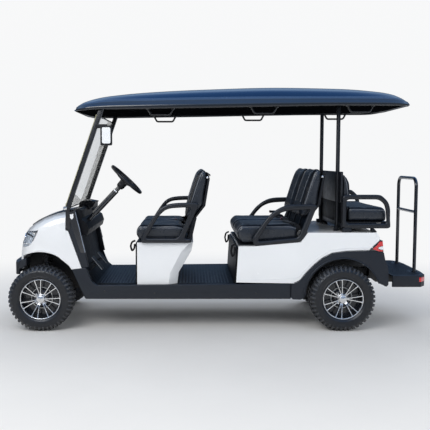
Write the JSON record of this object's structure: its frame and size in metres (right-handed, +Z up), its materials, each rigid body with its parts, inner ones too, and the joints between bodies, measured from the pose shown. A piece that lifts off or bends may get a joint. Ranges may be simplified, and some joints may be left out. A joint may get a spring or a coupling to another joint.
{
  "type": "golf cart",
  "caption": "Electric golf cart with two forward benches, a rear-facing flip seat, a roof on four posts, lifted all-terrain wheels and a rear step.",
  "frame": {"origin": "on the floor, centre of the overall length and width", "axes": "+X to the rear of the cart, +Y to its right side, +Z up; the front faces -X"},
  "size_m": [3.77, 1.336, 2.172],
  "materials": {
    "black_steel": "satin black powder coat",
    "grey_steel": "satin dark grey powder coat",
    "zinc_steel": "zinc plated",
    "white_body": "gloss white moulded body",
    "grey_trim": "grained dark grey plastic",
    "black_trim": "grained black plastic",
    "black_gloss": "gloss black",
    "floor_mat": "ribbed black mat",
    "seat_vinyl": "black and blue-grey vinyl with light piping",
    "clear_sheet": "clear acrylic",
    "lamp_clear": "clear lamp cover",
    "lamp_red": "red lamp cover",
    "tyre_rubber": "all-terrain tread",
    "rim_alloy": "machined alloy with black pockets",
    "rubber_grip": "soft black rim",
    "battery_case": "black case"
  },
  "bodies": {
    "chassis": {"chassis_frame": "black_steel", "front_suspension": "black_steel", "rear_axle": "black_steel", "battery_pack": "battery_case", "floor_pan": "black_trim", "floor_mats": "floor_mat", "rocker_panels": "grey_trim", "rear_flares": "grey_trim", "front_cowl": "white_body", "headlights": "lamp_clear", "front_bumper": "grey_trim", "front_struts": "black_steel", "windshield": "clear_sheet", "side_mirror": "black_trim", "pillar_trims": "grey_trim", "dash_panel": "black_trim", "steering_column": "black_trim", "pedals": "grey_steel", "roof_shell": "black_gloss", "roof_liner": "black_trim", "roof_handles": "black_trim", "front_pedestal": "white_body", "kick_panels": "black_trim", "front_seat_frame": "black_trim", "front_seat_cushions": "seat_vinyl", "front_seat_backs": "seat_vinyl", "seat_arms": "grey_trim", "rear_body": "white_body", "taillights": "lamp_red", "middle_seat_frame": "black_trim", "middle_seat_cushions": "seat_vinyl", "middle_seat_backs": "seat_vinyl", "rear_seat_frame": "black_steel", "rear_seat_backs": "seat_vinyl", "rear_step": "grey_trim", "grab_bar": "black_steel"},
    "left_knuckle": {"left_knuckle": "black_steel"},
    "right_knuckle": {"right_knuckle": "black_steel"},
    "tie_rod": {"tie_rod": "zinc_steel"},
    "steering_wheel": {"steering_wheel": "rubber_grip"},
    "flip_seat": {"flip_seat_board": "black_steel", "flip_seat_cushion": "seat_vinyl"},
    "front_left_wheel": {"front_left_tyre": "tyre_rubber", "front_left_rim": "rim_alloy"},
    "front_right_wheel": {"front_right_tyre": "tyre_rubber", "front_right_rim": "rim_alloy"},
    "rear_left_wheel": {"rear_left_tyre": "tyre_rubber", "rear_left_rim": "rim_alloy"},
    "rear_right_wheel": {"rear_right_tyre": "tyre_rubber", "rear_right_rim": "rim_alloy"}
  },
  "joints": [
    {"name": "left_steer", "type": "hinge", "parent": "chassis", "child": "left_knuckle", "pos_m": [-1.585, -0.5, 0.286], "axis": [0, 0, 1], "range_deg": [-28, 28]},
    {"name": "right_steer", "type": "hinge", "parent": "chassis", "child": "right_knuckle", "pos_m": [-1.585, 0.5, 0.286], "axis": [0, 0, 1], "range_deg": [-28, 28]},
    {"name": "tie_rod_slide", "type": "slide", "parent": "chassis", "child": "tie_rod", "axis": [0, 1, 0], "range_m": [-0.05, 0.05]},
    {"name": "steering_wheel_turn", "type": "hinge", "parent": "chassis", "child": "steering_wheel", "pos_m": [-0.852, -0.3, 1.327], "axis": [0.6884, 0, 0.7254], "range_deg": [-400, 400]},
    {"name": "flip_seat_hinge", "type": "hinge", "parent": "chassis", "child": "flip_seat", "pos_m": [1.45, 0, 0.938], "axis": [0, 1, 0], "range_deg": [0, 180]},
    {"name": "front_left_spin", "type": "hinge", "parent": "left_knuckle", "child": "front_left_wheel", "pos_m": [-1.585, -0.5655, 0.286], "axis": [0, -1, 0], "continuous": true},
    {"name": "front_right_spin", "type": "hinge", "parent": "right_knuckle", "child": "front_right_wheel", "pos_m": [-1.585, 0.5655, 0.286], "axis": [0, -1, 0], "continuous": true},
    {"name": "rear_left_spin", "type": "hinge", "parent": "chassis", "child": "rear_left_wheel", "pos_m": [1.075, -0.5655, 0.286], "axis": [0, -1, 0], "continuous": true},
    {"name": "rear_right_spin", "type": "hinge", "parent": "chassis", "child": "rear_right_wheel", "pos_m": [1.075, 0.5655, 0.286], "axis": [0, -1, 0], "continuous": true}
  ],
  "couplings": [
    {"joint": "right_steer", "follows": "left_steer", "ratio": 1},
    {"joint": "tie_rod_slide", "follows": "left_steer", "m_per_rad": 0.0925},
    {"joint": "steering_wheel_turn", "follows": "left_steer", "ratio": 14}
  ]
}
